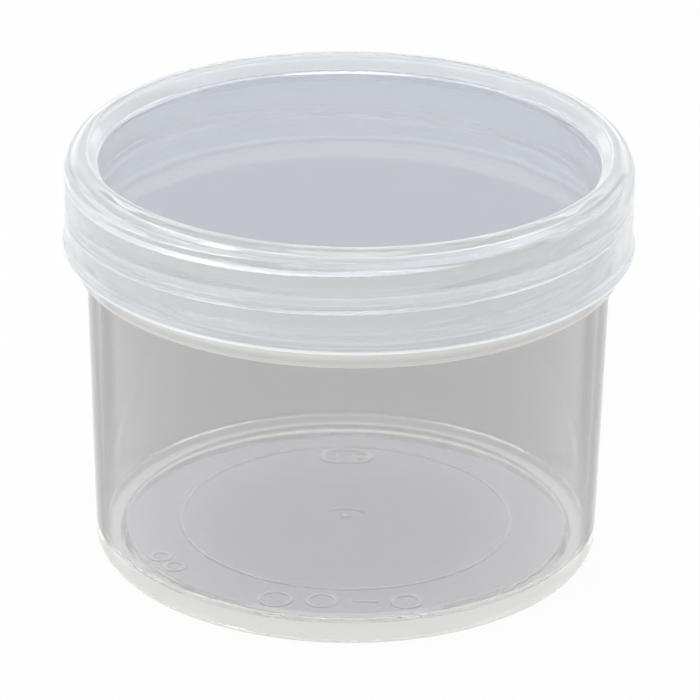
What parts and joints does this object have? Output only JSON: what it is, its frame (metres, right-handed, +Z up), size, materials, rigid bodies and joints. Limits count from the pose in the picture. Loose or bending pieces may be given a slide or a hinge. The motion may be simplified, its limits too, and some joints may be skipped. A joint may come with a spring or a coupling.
{
  "type": "screw-cap sample jar",
  "caption": "Low round see-through plastic jar with a wide threaded mouth and a screw lid whose clear window is sunk inside a rounded rim.",
  "frame": {"origin": "middle of the ring under the jar that it stands on, in the plane of the surface it rests on", "axes": "+Z up along the jar's and the lid's common axis; +X and +Y are free, the neck thread's top end lies about 34 degrees from +X towards +Y"},
  "size_m": [0.0724, 0.0724, 0.0545],
  "materials": {
    "jar_plastic": "see-through natural polypropylene, smooth and glossy, faintly milky where thick",
    "lid_plastic": "see-through natural polypropylene, smooth and glossy, milky at the rim"
  },
  "bodies": {
    "jar": {"jar_body": "jar_plastic"},
    "lid": {"screw_lid": "lid_plastic"}
  },
  "joints": [
    {"name": "lid_lift", "type": "slide", "parent": "jar", "child": "lid", "axis": [0, 0, 1], "range_m": [0, 0.04]}
  ]
}
